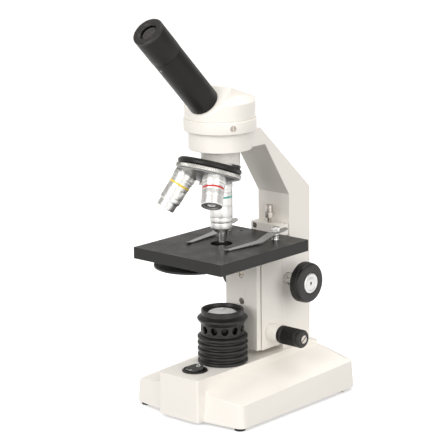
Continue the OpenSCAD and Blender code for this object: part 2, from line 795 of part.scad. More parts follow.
module condenser_mount() {
    on_axis() color(black) translate([0, 0, stage_bottom]) difference() {
        union() {
            translate([0, 0, -3.6]) cylinder(r = aperture_r + 5.5, h = 3.6 - seat_gap);
            translate([0, 0, -1]) cylinder(r = aperture_r + 3.5 - seat_gap, h = stage_t - 2.6);
        }
        translate([0, 0, -5]) cylinder(r = 7.5, h = 20);
        translate([0, 0, 1]) cylinder(r = 9.5, h = 20);
    }
}

module condenser_lens() {
    on_axis() color(glass) translate([0, 0, stage_bottom + 1]) rotate_extrude()
        polygon(concat([[0, seat_gap], [9.4, seat_gap]],
            [for (i = [0:7]) [9.4 * cos(i * 90 / 7), 2.4 + 5 * sin(i * 90 / 7)]]));
}

module clip_posts() {
    on_axis() color(steel) for (side = [-1, 1]) translate([side * post_x, post_y, 0]) {
        translate([0, 0, stage_bottom + 1]) cylinder(r = 2.5, h = 15 + stage_t);
        translate([0, 0, stage_top + 0.02]) cylinder(r1 = 3.9, r2 = 3.5, h = 1.5);
        translate([0, 0, stage_top + 1.5]) cylinder(r = 3.5, h = clip_z - stage_top - 1.7);
        translate([0, 0, clip_z + 1.2]) cylinder(r1 = 3.6, r2 = 4.1, h = 1.2);
        translate([0, 0, clip_z + 2.4 - eps]) cylinder(r = 4.1, h = 3.4);
        translate([0, 0, clip_z + 5.8 - 2 * eps]) cylinder(r1 = 4.1, r2 = 3.4, h = 0.8);
    }
}

clip_z = stage_top + 6.4;
clip_t = 0.8;
clip_splay = 5.8;

// Leaf clip, about its post: raised at the post and tail, bent down to the slide, with a lifted tip
module clip_leaf() {
    under = [[15.5, clip_z + 2.2], [8, clip_z + 0.3], [4, clip_z], [-6, clip_z], [-20.5, stage_top + 1.3],
        [-61, stage_top + 0.25], [-65.5, stage_top + 1.5]];
    over = [for (i = [len(under) - 1:-1:0]) under[i] + [0, clip_t]];
    difference() {
        intersection() {
            side_profile(concat(under, over), 6);
            translate([0, 0, stage_top - 2]) linear_extrude(20) polygon(concat(
                arc(0, 11.2, 4.2, 20, 160, 8), [[-3.6, 3]], arc(0, 0, 4.9, 150, 205, 5), [[-4.4, -10],
                [-4.4, -20.5], [-3, -45], [-1.9, -66], [1.9, -66], [3, -45], [4.4, -20.5], [4.4, -10]],
                arc(0, 0, 4.9, -25, 30, 5), [[3.6, 3]]));
        }
        translate([0, 0, stage_top]) cylinder(r = 2.5 + running, h = 30);
    }
}

module clip_right() {
    on_axis() color("gray") translate([post_x, post_y, 0]) rotate([0, 0, -clip_splay]) clip_leaf();
}

module clip_left() {
    on_axis() color("gray") translate([-post_x, post_y, 0]) rotate([0, 0, clip_splay]) clip_leaf();
}

module diaphragm_disc() {
    ports = [5, 4, 3, 2, 1];
    home = atan2(-pivot_y, -pivot_x);
    on_axis() color(black) translate([pivot_x, pivot_y, disc_z]) difference() {
        union() {
            cylinder(r = diaphragm_r, h = disc_t, $fn = 96);
            cylinder(r = 5, h = disc_t + 0.8);
        }
        translate([0, 0, -1]) cylinder(r = 2.6 + running, h = 6);
        for (i = [0:len(ports) - 1]) rotate([0, 0, home + 72 * i]) translate([port_pitch, 0, -1])
            cylinder(r = ports[i], h = 5);
    }
}

module carriage_plate() {
    on_axis() color(cream) difference() {
        union() {
            span([-arm_half, carriage_front, slide_bottom + 1.2],
                [arm_half, carriage_back, stage_bottom - seat_gap]);
            span([-arm_half + 1.5, aperture_r + 6.4, stage_bottom - 3.5],
                [arm_half - 1.5, carriage_front + 1, stage_bottom - seat_gap]);
        }
        for (z = carriage_screw_z) {
            y_cyl(3.3, carriage_front - 1, carriage_front + 2.8, 0, z);
            y_cyl(2 + seat_gap, carriage_front, carriage_back + 1, 0, z);
        }
        for (side = [-1, 1]) translate([side * stage_screw_x, stage_screw_y, stage_bottom - 5])
            cylinder(r = 2 + seat_gap, h = 8);
    }
}

carriage_screw_z = [97.8, 124.1];

module fine_slide_bar() {
    back = carriage_back + seat_gap;
    on_axis() color(steel) difference() {
        union() {
            translate([0, 0, slide_bottom + 5]) linear_extrude(focus_top - slide_bottom - 8)
                polygon([[-fine_in, back], [-fine_out, fine_back], [fine_out, fine_back], [fine_in, back]]);
            span([-follower_half, back, fine_z + cam_r + cam_clear],
                [follower_half, fine_y + 2, fine_z + cam_r + cam_clear + 4.5]);
        }
        for (z = carriage_screw_z) y_cyl(2 + seat_gap, carriage_back - 1, fine_back + 1, 0, z);
    }
}

follower_half = 3;
cam_clear = 0.08;

module carriage_screws() {
    on_axis() color(steel) {
        for (z = carriage_screw_z) translate([0, carriage_front + 2.75, z]) rotate([90, 0, 0])
            slotted_screw(3.2, 2, 2, fine_back - carriage_front - 3);
        for (side = [-1, 1]) translate([side * stage_screw_x, stage_screw_y, stage_bottom - 3.55])
            mirror([0, 0, 1]) slotted_screw(3.6, 2.2, 2, 9);
        translate([pivot_x, pivot_y, disc_z - 0.3]) mirror([0, 0, 1]) slotted_screw(4.4, 1.6, 2.6, 6.65);
        translate([pivot_x, pivot_y, stage_bottom - 1]) cylinder(r = 2, h = 7);
    }
}

// ---------- coarse slide ----------

module focus_block() {
    on_axis() color(cream) difference() {
        union() {
            span([-arm_half, block_face, slide_bottom], [arm_half, block_back, focus_top]);
            translate([0, 0, slide_bottom]) linear_extrude(cap_top - 2 - slide_bottom) tongue_section(0, 0);
            span([-tongue_in, cap_front + cap_wall + 0.1, cap_bottom - 2],
                [tongue_in, block_back + 1, cap_top - 2]);
            span([1.9 - arm_half, cap_front + cap_wall + 0.1, cap_bottom + 1],
                [arm_half - 1.9, cap_back - 2.2, cap_top - 2]);
        }
        translate([0, 0, slide_bottom - 1]) linear_extrude(focus_top - slide_bottom + 2)
            polygon([[-fine_in - fine_flare - slide_gap, block_face - 1],
                [-fine_out - slide_gap, fine_back + slide_gap],
                [fine_out + slide_gap, fine_back + slide_gap],
                [fine_in + fine_flare + slide_gap, block_face - 1]]);
        x_cyl(cam_r + 2.6, -cam_half - 1, cam_half + 1, fine_y, fine_z);
        span([-follower_half - 0.3, block_face, fine_z + 3],
            [follower_half + 0.3, fine_y + 3, fine_z + cam_r + 6.5]);
        x_cyl(shaft_r + running, -30, 30, fine_y, fine_z);
        for (side = [-1, 1]) x_cyl(fine_boss_r - 1.5 + seat_gap, side > 0 ? arm_half - 6 : -arm_half - 1,
            side > 0 ? arm_half + 1 : 6 - arm_half, fine_y, fine_z);
        span([-4.6, 63.9, slide_bottom - 1], [4.6, block_back + 10, focus_top + 0.05]);
        span([-arm_half, cap_front - 1, cap_bottom - seat_gap],
            [arm_half, cap_front + cap_wall + seat_gap, cap_top]);
        for (side = [-1, 1]) y_cyl(1.9, cap_front, cap_back, side * cap_screw_x, cap_screw_z);
        translate([0, stop_y, cap_bottom + 2]) cylinder(r = stop_r + running, h = 20);
    }
}

module rack() {
    pitch = PI * gear_module;
    // A gap of the rack faces the pinion's forward tooth at rest
    tip = rack_pitch_y + gear_module * 0.95;
    root = rack_pitch_y - gear_module * 1.2;
    on_axis() color(brass) side_profile(concat(
        [for (i = [-rack_low:rack_high]) let (z = coarse_z + (i + 0.5) * pitch)
            each [[root, z - pitch * 0.4], [tip, z - pitch * 0.1], [tip, z + pitch * 0.1],
                [root, z + pitch * 0.4]]],
        [[64, coarse_z + (rack_high + 1) * pitch], [64, coarse_z - rack_low * pitch]]), 4);
}

rack_low = floor((coarse_z - slide_bottom - 2) / (PI * gear_module)) - 1;
rack_high = floor((focus_top - coarse_z - 1) / (PI * gear_module)) - 1;

module slide_cap() {
    on_axis() color(cream) difference() {
        translate([0, 0, cap_bottom]) linear_extrude(cap_top - cap_bottom) polygon(concat(
            [[arm_half, cap_back], [-arm_half, cap_back]],
            arc(-arm_half + 2.5, cap_front + 2.5, 2.5, 180, 270, 6),
            arc(arm_half - 2.5, cap_front + 2.5, 2.5, 270, 360, 6)));
        span([1.8 - arm_half, cap_front + cap_wall, cap_bottom - 1],
            [arm_half - 1.8, cap_back - 2.1, cap_top - 1.9]);
        for (side = [-1, 1]) {
            y_cyl(2.9, cap_front - 1, cap_front + 1.8, side * cap_screw_x, cap_screw_z);
            y_cyl(1.9, cap_front, cap_back - 2, side * cap_screw_x, cap_screw_z);
        }
        translate([0, stop_y, cap_bottom]) cylinder(r = stop_r + running, h = 20);
    }
}

module cap_screws() {
    on_axis() color(steel) for (side = [-1, 1])
        translate([side * cap_screw_x, cap_front + 1.75, cap_screw_z]) rotate([90, 0, 0])
            slotted_screw(2.8, 1.3, 1.85, 7);
}

module stop_screw() {
    on_axis() color(steel) translate([0, stop_y, 0]) {
        translate([0, 0, cap_bottom + 4.5]) cylinder(r = stop_r, h = cap_top - cap_bottom + 8);
        translate([0, 0, cap_top + 5]) cylinder(r = 4.1, h = 5.6, $fn = 6);
        translate([0, 0, cap_top + 10.9]) cylinder(r = 3.4, h = 6.6);
        translate([0, 0, cap_top + 10.4]) cylinder(r = 2.6, h = 1);
    }
}

module fine_bosses() {
    on_axis() color(cream) mirrored() difference() {
        union() {
            x_cyl(fine_boss_r, arm_half + seat_gap, fine_boss_x, fine_y, fine_z);
            x_cyl(fine_boss_r - 1.5, arm_half - 5.9, arm_half + 1, fine_y, fine_z);
        }
        x_cyl(shaft_r + running, 0, fine_boss_x + 5, fine_y, fine_z);
    }
}

// ---------- coarse shaft ----------

module tension_collars() {
    on_axis() color(steel) mirrored() difference() {
        union() {
            x_cyl(bush_r - 0.3, tongue_out + 0.6, arm_half + 1, coarse_y, coarse_z);
            x_cyl(bush_r, arm_half + seat_gap, arm_half + 1.6, coarse_y, coarse_z);
            x_cyl(bush_r - 0.5, arm_half + 1.5, arm_half + 2.6, coarse_y, coarse_z);
            x_cyl(bush_r, arm_half + 2.5, collar_end, coarse_y, coarse_z);
        }
        x_cyl(shaft_r + running, 0, collar_end + 1, coarse_y, coarse_z);
        for (a = [0:60:300]) translate([arm_half + 6.2, coarse_y, coarse_z]) rotate([a, 0, 0])
            translate([0, 0, bush_r - 1.6]) cylinder(r = 1.4, h = 4);
    }
}

module coarse_shaft() {
    on_axis() color(steel) x_cyl(shaft_r, 3 - knob_x - knob_w, knob_x + knob_w - 3,
        coarse_y, coarse_z);
}

module coarse_pinion() {
    pitch_a = 360 / coarse_teeth;
    root = pinion_pitch_r - gear_module * 1.2;
    tip = pinion_pitch_r + gear_module * 0.95;
    on_axis() color(brass) translate([-4, coarse_y, coarse_z]) rotate([90, 0, 90]) difference() {
        linear_extrude(8) polygon([for (i = [0:coarse_teeth - 1]) for (s = [-0.36, -0.09, 0.09, 0.36])
            let (a = 180 + (i + s) * pitch_a, r = abs(s) > 0.3 ? root : tip) [r * cos(a), r * sin(a)]]);
        translate([0, 0, -1]) cylinder(r = shaft_r + seat_gap, h = 12);
    }
}

module coarse_knobs() {
    on_axis() color(black) mirrored() translate([0, coarse_y, coarse_z]) rotate([90, 0, 90]) difference() {
        rotate_extrude($fn = 96) polygon([[shaft_r + seat_gap, collar_end + 0.4], [6.6, collar_end + 0.4],
            [6.6, knob_x], [coarse_knob_r - 1, knob_x], [coarse_knob_r, knob_x + 1],
            [coarse_knob_r, knob_x + 6.2], [coarse_knob_r - 0.7, knob_x + 6.8],
            [coarse_knob_r - 0.7, knob_x + knob_w - 1.4], [coarse_knob_r - 2, knob_x + knob_w],
            [insert_r + seat_gap, knob_x + knob_w], [insert_r + seat_gap, knob_x + knob_w - 3],
            [shaft_r + seat_gap, knob_x + knob_w - 3]]);
    }
}

module coarse_inserts() {
    on_axis() color(steel) mirrored() translate([knob_x + knob_w - 3 + seat_gap, coarse_y, coarse_z])
        rotate([90, 0, 90]) difference() {
            cylinder(r = insert_r, h = 3.6);
            translate([0, 0, 1.2]) cylinder(r = 1.3, h = 5);
            for (a = [20, 200]) rotate([0, 0, a]) translate([6.4, 0, 2.6]) cylinder(r = 0.7, h = 3);
        }
}

// ---------- fine shaft ----------

module fine_shaft() {
    on_axis() color(steel) {
        x_cyl(shaft_r, -fine_seat - 0.8, fine_seat + 0.8, fine_y, fine_z);
        mirrored() difference() {
            x_cyl(4, fine_end - 8, fine_end + 0.6, fine_y, fine_z);
            translate([fine_end - 0.6, fine_y, fine_z]) rotate([30, 0, 0]) span([0, -5, -0.6], [4, 5, 0.6]);
        }
    }
}

// Snail cam: its radius grows steadily with angle over one turn, with the step kept away from the follower
module fine_cam() {
    on_axis() color(brass) translate([-cam_half, fine_y, fine_z]) rotate([90, 0, 90]) difference() {
        linear_extrude(2 * cam_half) polygon([for (i = [-174:6:174]) let (r = cam_r - cam_lift * i / 360)
            [r * cos(90 + i), r * sin(90 + i)]]);
        translate([0, 0, -1]) cylinder(r = shaft_r + seat_gap, h = 20);
    }
}

module fine_knobs() {
    on_axis() color(black) mirrored() translate([0, fine_y, fine_z]) rotate([90, 0, 90])
        rotate_extrude($fn = 96) polygon([[shaft_r + seat_gap, fine_boss_x + 0.3],
            [fine_knob_r - 0.8, fine_boss_x + 0.3], [fine_knob_r, fine_boss_x + 1.2],
            [fine_knob_r, fine_end - 1.5], [fine_knob_r - 1.2, fine_end],
            [4 + seat_gap, fine_end], [4 + seat_gap, fine_seat], [shaft_r + seat_gap, fine_seat]]);
}

// ---------- output ----------

base_casting();
base_plate();
rubber_feet();
foot_screws();
arm_casting();
arm_bolts();
lamp_base_ring();
lamp_holder();
lamp_bulb();
lamp_mirror();
switch_bezel();
wiring();
cable_gland();
tension_collars();
nosepiece_disc();
nosepiece_pivot();
detent_spring();
head_casting();
head_collar();
head_screws();
prism();
eyepiece_tube();
eyepiece_barrel();
eyepiece_cap();
eyepiece_lenses();
turret_shell();
turret_ring();
objective_4x();
objective_10x();
objective_40x();
objective_lenses();
objective_spring();
objective_nose();
nose_lens();
lamp_cover();
lamp_lens();
switch_rocker();
focus_block();
rack();
slide_cap();
cap_screws();
fine_bosses();
coarse_shaft();
coarse_pinion();
coarse_knobs();
coarse_inserts();
carriage_plate();
fine_slide_bar();
carriage_screws();
stage_plate();
condenser_mount();
condenser_lens();
clip_posts();
fine_shaft();
fine_cam();
fine_knobs();
clip_left();
clip_right();
diaphragm_disc();
stop_screw();
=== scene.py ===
"""Looks of a school microscope: enamelled castings, black fittings, chromed optics and a lamp in the base."""

import json
import math

import bmesh
import bpy
import numpy as np
from mathutils import Matrix


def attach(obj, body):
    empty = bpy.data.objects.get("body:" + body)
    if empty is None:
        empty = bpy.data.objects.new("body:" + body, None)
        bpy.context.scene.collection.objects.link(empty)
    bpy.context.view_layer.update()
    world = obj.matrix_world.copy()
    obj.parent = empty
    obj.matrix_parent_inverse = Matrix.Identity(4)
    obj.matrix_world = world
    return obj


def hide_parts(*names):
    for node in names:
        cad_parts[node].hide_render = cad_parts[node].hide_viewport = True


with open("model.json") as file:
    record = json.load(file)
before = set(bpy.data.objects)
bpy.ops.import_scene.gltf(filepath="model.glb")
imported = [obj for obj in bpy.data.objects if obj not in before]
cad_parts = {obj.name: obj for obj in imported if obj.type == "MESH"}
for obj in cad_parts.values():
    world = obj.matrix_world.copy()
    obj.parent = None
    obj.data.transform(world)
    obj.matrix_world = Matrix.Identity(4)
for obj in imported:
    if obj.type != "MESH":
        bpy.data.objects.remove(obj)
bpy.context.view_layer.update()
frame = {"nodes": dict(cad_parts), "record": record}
MM = 0.001

# ---------- the CAD's own lines ----------

# The optical axis, and the lines that the round pieces are turned about, in millimetres
OPTIC_Y = -8.5504
SHOULDER_Z = 220.5
TUBE_Z = 277.2
TURRET_TILT = math.radians(20)
TURRET_PITCH = 20.0

# The focusing shafts, as the distance behind the optical axis and the height
COARSE_SHAFT = (73.5, 114.5)
FINE_SHAFT = (48.4, 66)


def unit(v):
    v = np.asarray(v, float)
    return v / np.linalg.norm(v)


def line(point, direction):
    """An axis as (origin, side, other, along): three unit directions square to each other, from one point."""
    along = unit(direction)
    helper = np.array([1.0, 0, 0]) if abs(along[0]) < 0.9 else np.array([0, 1.0, 0])
    other = unit(np.cross(along, helper))
    return np.asarray(point, float), np.cross(other, along), other, along


def optic(z=0.0, x=0.0, y=0.0):
    return line((x, OPTIC_Y + y, z), (0, 0, 1))


def across(y, z, side):
    """A line along X, pointing out to one side."""
    return line((0, OPTIC_Y + y, z), (side, 0, 0))


TUBE = line((0, OPTIC_Y, TUBE_Z), (0, -1, 1))
TURRET = line((0, OPTIC_Y - TURRET_PITCH * math.cos(TURRET_TILT),
               SHOULDER_Z + TURRET_PITCH * math.sin(TURRET_TILT)),
              (0, math.sin(TURRET_TILT), math.cos(TURRET_TILT)))


def turned(v, axis, angle):
    """The vector v carried round an axis by an angle (Rodrigues' formula)."""
    return (v * math.cos(angle) + np.cross(axis, v) * math.sin(angle)
            + axis * np.dot(axis, v) * (1 - math.cos(angle)))


def objective_line(k):
    """The k-th objective's axis, from its shoulder outwards: the upright one, carried round the turret by k
    thirds of a turn."""
    angle = k * math.tau / 3
    shoulder = np.array([0, OPTIC_Y, SHOULDER_Z])
    return line(TURRET[0] + turned(shoulder - TURRET[0], TURRET[3], angle),
                turned(np.array([0, 0, -1.0]), TURRET[3], angle))


# ---------- surfaces ----------


def solid(name, verts, faces, sharp=35):
    """A mesh from points in millimetres. Faces are turned outwards by the sign of the volume they enclose."""
    verts = np.asarray(verts, float) * MM
    mesh = bpy.data.meshes.new(name)
    mesh.from_pydata(verts, [], np.asarray(faces).tolist())
    bm = bmesh.new()
    bm.from_mesh(mesh)
    bmesh.ops.remove_doubles(bm, verts=bm.verts, dist=1e-7)
    if bm.calc_volume(signed=True) < 0:
        bmesh.ops.reverse_faces(bm, faces=bm.faces)
    bm.to_mesh(mesh)
    bm.free()
    mesh.validate()
    mesh.shade_smooth()
    mesh.set_sharp_from_angle(angle=math.radians(sharp))
    piece = bpy.data.objects.new(name, mesh)
    bpy.context.scene.collection.objects.link(piece)
    return piece


def soften(profile, radius=0.4, closed=True, steps=3):
    """Each corner of an outline becomes a quadratic curve that starts and ends radius away from it."""
    points = np.asarray(profile, float)
    count = len(points)
    out = []
    for i in range(count):
        p = points[i]
        if not closed and i in (0, count - 1):
            out.append(p)
            continue
        before, after = points[i - 1] - p, points[(i + 1) % count] - p
        a, b = np.linalg.norm(before), np.linalg.norm(after)
        reach = min(radius, 0.42 * a, 0.42 * b)
        start, end = p + before / a * reach, p + after / b * reach
        t = np.linspace(0, 1, steps + 1)[:, None]
        out.extend(start * (1 - t) ** 2 + 2 * p * t * (1 - t) + end * t ** 2)
    return np.array(out)


def domed(points, radius, z, rise):
    """A profile that goes on from its points along a quarter ellipse, from (radius, z) up to the axis."""
    swing = np.linspace(0, math.pi / 2, 9)
    return np.concatenate([points, np.stack([radius * np.cos(swing), z + rise * np.sin(swing)], 1)])


def grid_faces(rows, columns, loop_rows, loop_columns):
    """Quads of a grid of points numbered row by row, joined end to end where it loops."""
    i = np.arange(rows if loop_rows else rows - 1)[:, None]
    j = np.arange(columns if loop_columns else columns - 1)[None, :]
    i2, j2 = (i + 1) % rows, (j + 1) % columns
    quads = np.stack([i * columns + j, i * columns + j2, i2 * columns + j2, i2 * columns + j], axis=-1)
    return quads.reshape(-1, 4)


def lathe(name, profile, axis, closed=True, turns=128, ridges=(), sharp=35):
    """A profile of (radius, height) carried round an axis. Ridges are (low, high, count, depth): between
    those heights the radius dips by depth times half of one minus the cosine of count times the angle."""
    profile = np.asarray(profile, float)
    angle = np.linspace(0, math.tau, turns, endpoint=False)
    radius = np.repeat(profile[:, :1], turns, axis=1)
    height = np.repeat(profile[:, 1:], turns, axis=1)
    for low, high, count, depth in ridges:
        inside = (height > low) & (height < high)
        radius = radius - inside * depth * 0.5 * (1 - np.cos(count * angle))[None, :]
    origin, side, other, along = axis
    outward = (np.cos(angle)[:, None] * side + np.sin(angle)[:, None] * other)[None]
    points = origin + radius[..., None] * outward + height[..., None] * along
    piece = solid(name, points.reshape(-1, 3), grid_faces(len(profile), turns, closed, True), sharp)
    around_uv(piece, axis)
    return piece


def around_uv(piece, axis):
    """UV: u is the angle round the axis over a full turn. v is the height plus the radius, over 10 mm."""
    mesh = piece.data
    co = np.empty(len(mesh.vertices) * 3)
    mesh.vertices.foreach_get("co", co)
    co = co.reshape(-1, 3) / MM - axis[0]
    x, y, z = co @ axis[1], co @ axis[2], co @ axis[3]
    u = np.arctan2(y, x) / math.tau + 0.5
    v = (z + np.hypot(x, y)) / 10
    index = np.empty(len(mesh.loops), dtype=np.int32)
    mesh.loops.foreach_get("vertex_index", index)
    uv = np.stack([u[index], v[index]], axis=1)
    layer = mesh.uv_layers.new(name="around")
    layer.data.foreach_set("uv", uv.ravel())


def joined(name, pieces):
    """Several pieces as one object, by stacking their meshes."""
    with bpy.context.temp_override(active_object=pieces[0], selected_editable_objects=pieces):
        bpy.ops.object.join()
    pieces[0].name = name
    return pieces[0]


def eased(node, width):
    """A copy of a CAD node with its triangles merged back into flat faces and its edges eased by a bevel."""
    sharp = math.radians(25)
    mesh = frame["nodes"][node].data.copy()
    mesh.materials.clear()
    bm = bmesh.new()
    bm.from_mesh(mesh)
    bmesh.ops.remove_doubles(bm, verts=bm.verts, dist=2e-6)
    bmesh.ops.dissolve_limit(bm, angle_limit=math.radians(0.6), verts=bm.verts, edges=bm.edges)
    bm.to_mesh(mesh)
    bm.free()
    mesh.shade_smooth()
    mesh.set_sharp_from_angle(angle=sharp)
    piece = bpy.data.objects.new(node + "_eased", mesh)
    bpy.context.scene.collection.objects.link(piece)
    bevel = piece.modifiers.new("eased edges", "BEVEL")
    bevel.width = width * MM
    bevel.segments = 3
    bevel.limit_method = "ANGLE"
    bevel.angle_limit = sharp
    bevel.use_clamp_overlap = True
    bevel.harden_normals = True
    return piece


# ---------- finishes ----------


class Finish:
    """A material built round one Principled shader, with short calls for the nodes that feed it."""

    def __init__(self, name, colour, roughness, metallic=0.0, coat=0.0, transmission=0.0, ior=1.45):
        self.material = bpy.data.materials.new(name)
        self.material.use_nodes = True
        self.tree = self.material.node_tree
        self.shader = self.tree.nodes["Principled BSDF"]
        self.set("Base Color", (*colour, 1.0))
        self.set("Roughness", roughness)
        self.set("Metallic", metallic)
        self.set("Coat Weight", coat)
        self.set("Coat Roughness", 0.12)
        self.set("Transmission Weight", transmission)
        self.set("IOR", ior)
        self.last_normal = None

    def set(self, socket, value):
        self.shader.inputs[socket].default_value = value

    def node(self, kind, **values):
        node = self.tree.nodes.new(kind)
        for key, value in values.items():
            if key in node.inputs:
                node.inputs[key].default_value = value
            else:
                setattr(node, key, value)
        return node

    def link(self, a, b):
        self.tree.links.new(a, b)

    def coordinates(self, kind="Object", scale=(1, 1, 1)):
        where = self.node("ShaderNodeTexCoord")
        mapping = self.node("ShaderNodeMapping")
        mapping.inputs["Scale"].default_value = scale
        self.link(where.outputs[kind], mapping.inputs["Vector"])
        return mapping.outputs["Vector"]

    def noise(self, vector, scale, detail=3.0, roughness=0.55):
        node = self.node("ShaderNodeTexNoise", Scale=scale, Detail=detail, Roughness=roughness)
        self.link(vector, node.inputs["Vector"])
        return node.outputs["Fac"]

    def spread(self, value, low, high, to_low, to_high):
        node = self.node("ShaderNodeMapRange")
        for key, number in zip(("From Min", "From Max", "To Min", "To Max"), (low, high, to_low, to_high)):
            node.inputs[key].default_value = number
        self.link(value, node.inputs["Value"])
        return node.outputs["Result"]

    def tint(self, amount, colour):
        """Mixes a colour over the base colour by a value."""
        mix = self.node("ShaderNodeMix", data_type="RGBA")
        base = self.shader.inputs["Base Color"]
        if base.is_linked:
            self.link(base.links[0].from_socket, mix.inputs[6])
        else:
            mix.inputs[6].default_value = base.default_value[:]
        mix.inputs[7].default_value = (*colour, 1.0)
        self.link(amount, mix.inputs[0])
        self.link(mix.outputs[2], base)

    def mottle(self, vector, scale, low, high):
        """Roughness that wanders between two values."""
        value = self.spread(self.noise(vector, scale, 4.0), 0.3, 0.7, low, high)
        self.link(value, self.shader.inputs["Roughness"])

    def bump(self, value, strength, depth):
        """Adds a bump of that depth in millimetres to the ones before it."""
        node = self.node("ShaderNodeBump", Strength=strength, Distance=depth * MM)
        self.link(value, node.inputs["Height"])
        if self.last_normal is not None:
            self.link(self.last_normal, node.inputs["Normal"])
        self.last_normal = node.outputs["Normal"]
        self.link(self.last_normal, self.shader.inputs["Normal"])


def scaled(colour, factor):
    return tuple(min(1.0, c * factor) for c in colour)


def enamel(name, colour, roughness, peel, coat=0.0, speck=0.01, specular=0.5, edge_tint=None):
    """Sprayed enamel: slow colour drift, fine orange peel and roughness drift. An edge one, for narrow faces
    along edges, also shows a second colour through noise, as painted light: darker for painted shade, lighter
    for a painted highlight."""
    finish = Finish(name, colour, roughness, coat=coat)
    finish.set("Specular IOR Level", specular)
    where = finish.coordinates()
    clouds = finish.spread(finish.noise(where, 22.0, 2.0), 0.35, 0.65, 0.0, 1.0)
    finish.tint(clouds, scaled(colour, 1 - speck))
    # Edge tint through noise: a darker brown on cream edges is painted shade, a lighter grey on black edges
    # is a painted highlight.
    if edge_tint:
        finish.tint(finish.spread(finish.noise(where, 420.0, 5.0), 0.42, 0.62, 0.0, 0.55), edge_tint)
    finish.mottle(where, 60.0, roughness * 0.85, roughness * 1.15)
    finish.bump(finish.noise(where, 900.0, 2.0), 0.18, peel)
    finish.bump(finish.noise(where, 90.0, 2.0), 0.1, peel * 2)
    return finish.material


def moulded(name, colour, roughness, grain=0.03, edge_tint=None, specular=0.5):
    """Moulded plastic or rubber: fine grain, roughness drift and a slightly uneven colour."""
    finish = Finish(name, colour, roughness)
    finish.set("Specular IOR Level", specular)
    where = finish.coordinates()
    finish.tint(finish.spread(finish.noise(where, 75.0, 4.0), 0.4, 0.7, 0.0, 0.6), scaled(colour, 1.3))
    # Edge tint through noise: a lighter grey on the edges of black plastic is a painted highlight.
    if edge_tint:
        finish.tint(finish.spread(finish.noise(where, 420.0, 5.0), 0.42, 0.62, 0.0, 0.6), edge_tint)
    finish.mottle(where, 120.0, roughness * 0.85, roughness * 1.15)
    finish.bump(finish.noise(where, 2200.0, 3.0), 0.25, grain)
    return finish.material


def turned_metal(name, colour, roughness, lines=0.004, drift=0.05, kind="UV"):
    """Metal turned on a lathe: noise stretched round the axis shades the roughness and cuts faint lines."""
    finish = Finish(name, colour, roughness, metallic=1.0)
    stretch, scale = ((0.6, 9.0, 1.0), 12.0) if kind == "UV" else ((1, 1, 1), 700.0)
    streak = finish.noise(finish.coordinates(kind, stretch), scale, 6.0, 0.7)
    patches = finish.spread(finish.noise(finish.coordinates(), 110.0, 4.0), 0.35, 0.7, 0.0, 0.6)
    finish.tint(patches, scaled(colour, 1 - drift * 3))
    value = finish.spread(streak, 0.3, 0.7, roughness * 0.85, roughness * 1.2)
    finish.link(value, finish.shader.inputs["Roughness"])
    finish.bump(streak, 0.5, lines)
    return finish.material


def glass(name, colour, roughness=0.03, ior=1.5, clear=1.0):
    """Lens glass with a coating colour and slight smears. Less clear glass shows part of its colour as a matt
    surface, which the lens glass uses for a painted reflection.
    """
    finish = Finish(name, colour, roughness, transmission=clear, ior=ior)
    finish.mottle(finish.coordinates(), 90.0, roughness * 0.4, roughness * 2.5)
    return finish.material


CREAM = (0.86, 0.822, 0.765)
BLACK = (0.0085, 0.008, 0.0075)
cream = enamel("cream enamel", CREAM, 0.36, 0.02, coat=0.15)
# Cream bevels: darker and browner, broken by noise, as painted shade along the edges.
cream_edge_shade = enamel("cream enamel edge", CREAM, 0.3, 0.01, coat=0.2, edge_tint=(0.74, 0.66, 0.55))
black_enamel = enamel("black enamel", BLACK, 0.36, 0.02, speck=-0.3, specular=0.33)
# Black enamel bevels: a lighter grey through noise, a painted highlight along the edges.
black_edge_highlight = enamel("black enamel edge", BLACK, 0.38, 0.01, speck=-0.3, edge_tint=(0.05, 0.047, 0.043))
tube_black = enamel("black tube enamel", (0.006, 0.0055, 0.005), 0.36, 0.01, speck=-0.3, specular=0.24)
black_plastic = moulded("black plastic", (0.0095, 0.0086, 0.0076), 0.4, specular=0.45)
barrel_black = moulded("eyepiece plastic", (0.0068, 0.0062, 0.0056), 0.4, specular=0.26)
# Black plastic bevels: a lighter grey through noise, a painted highlight along the edges.
plastic_edge_highlight = moulded("black plastic edge", (0.014, 0.013, 0.012), 0.36, edge_tint=(0.045, 0.042, 0.038))
rocker_black = moulded("rocker plastic", (0.008, 0.008, 0.008), 0.22, grain=0.01)
rubber = moulded("foot rubber", (0.02, 0.02, 0.02), 0.85, grain=0.1)
dark_metal = turned_metal("blackened metal", (0.035, 0.034, 0.033), 0.5)
chrome = turned_metal("turned chrome", (0.62, 0.612, 0.595), 0.26, lines=0.0002, drift=0.02)
barrel_chrome = turned_metal("barrel chrome", (0.66, 0.65, 0.632), 0.36, lines=0.0002, drift=0.02)
ring_chrome = turned_metal("ring chrome", (0.36, 0.35, 0.33), 0.24, lines=0.0003, drift=0.02)
satin_metal = turned_metal("satin metal", (0.6, 0.6, 0.59), 0.3, lines=0.02)
screw_steel = turned_metal("screw steel", (0.5, 0.46, 0.42), 0.24, kind="Object")
# Darker, browner steel for the head and carriage screws, partly painted shade of the counterbored holes that
# the carriage screws sit in.
shaded_screw_steel = turned_metal("dark screw steel", (0.3, 0.265, 0.23), 0.3, kind="Object")
clip_steel = turned_metal("clip steel", (0.52, 0.52, 0.51), 0.42, lines=0.001, kind="Object")
clip_edge = turned_metal("clip steel edge", (0.3, 0.3, 0.295), 0.42, kind="Object")
grey_alloy = turned_metal("grey alloy", (0.33, 0.33, 0.325), 0.38, lines=0.01)
brass = turned_metal("brass", (0.62, 0.43, 0.16), 0.3, kind="Object")
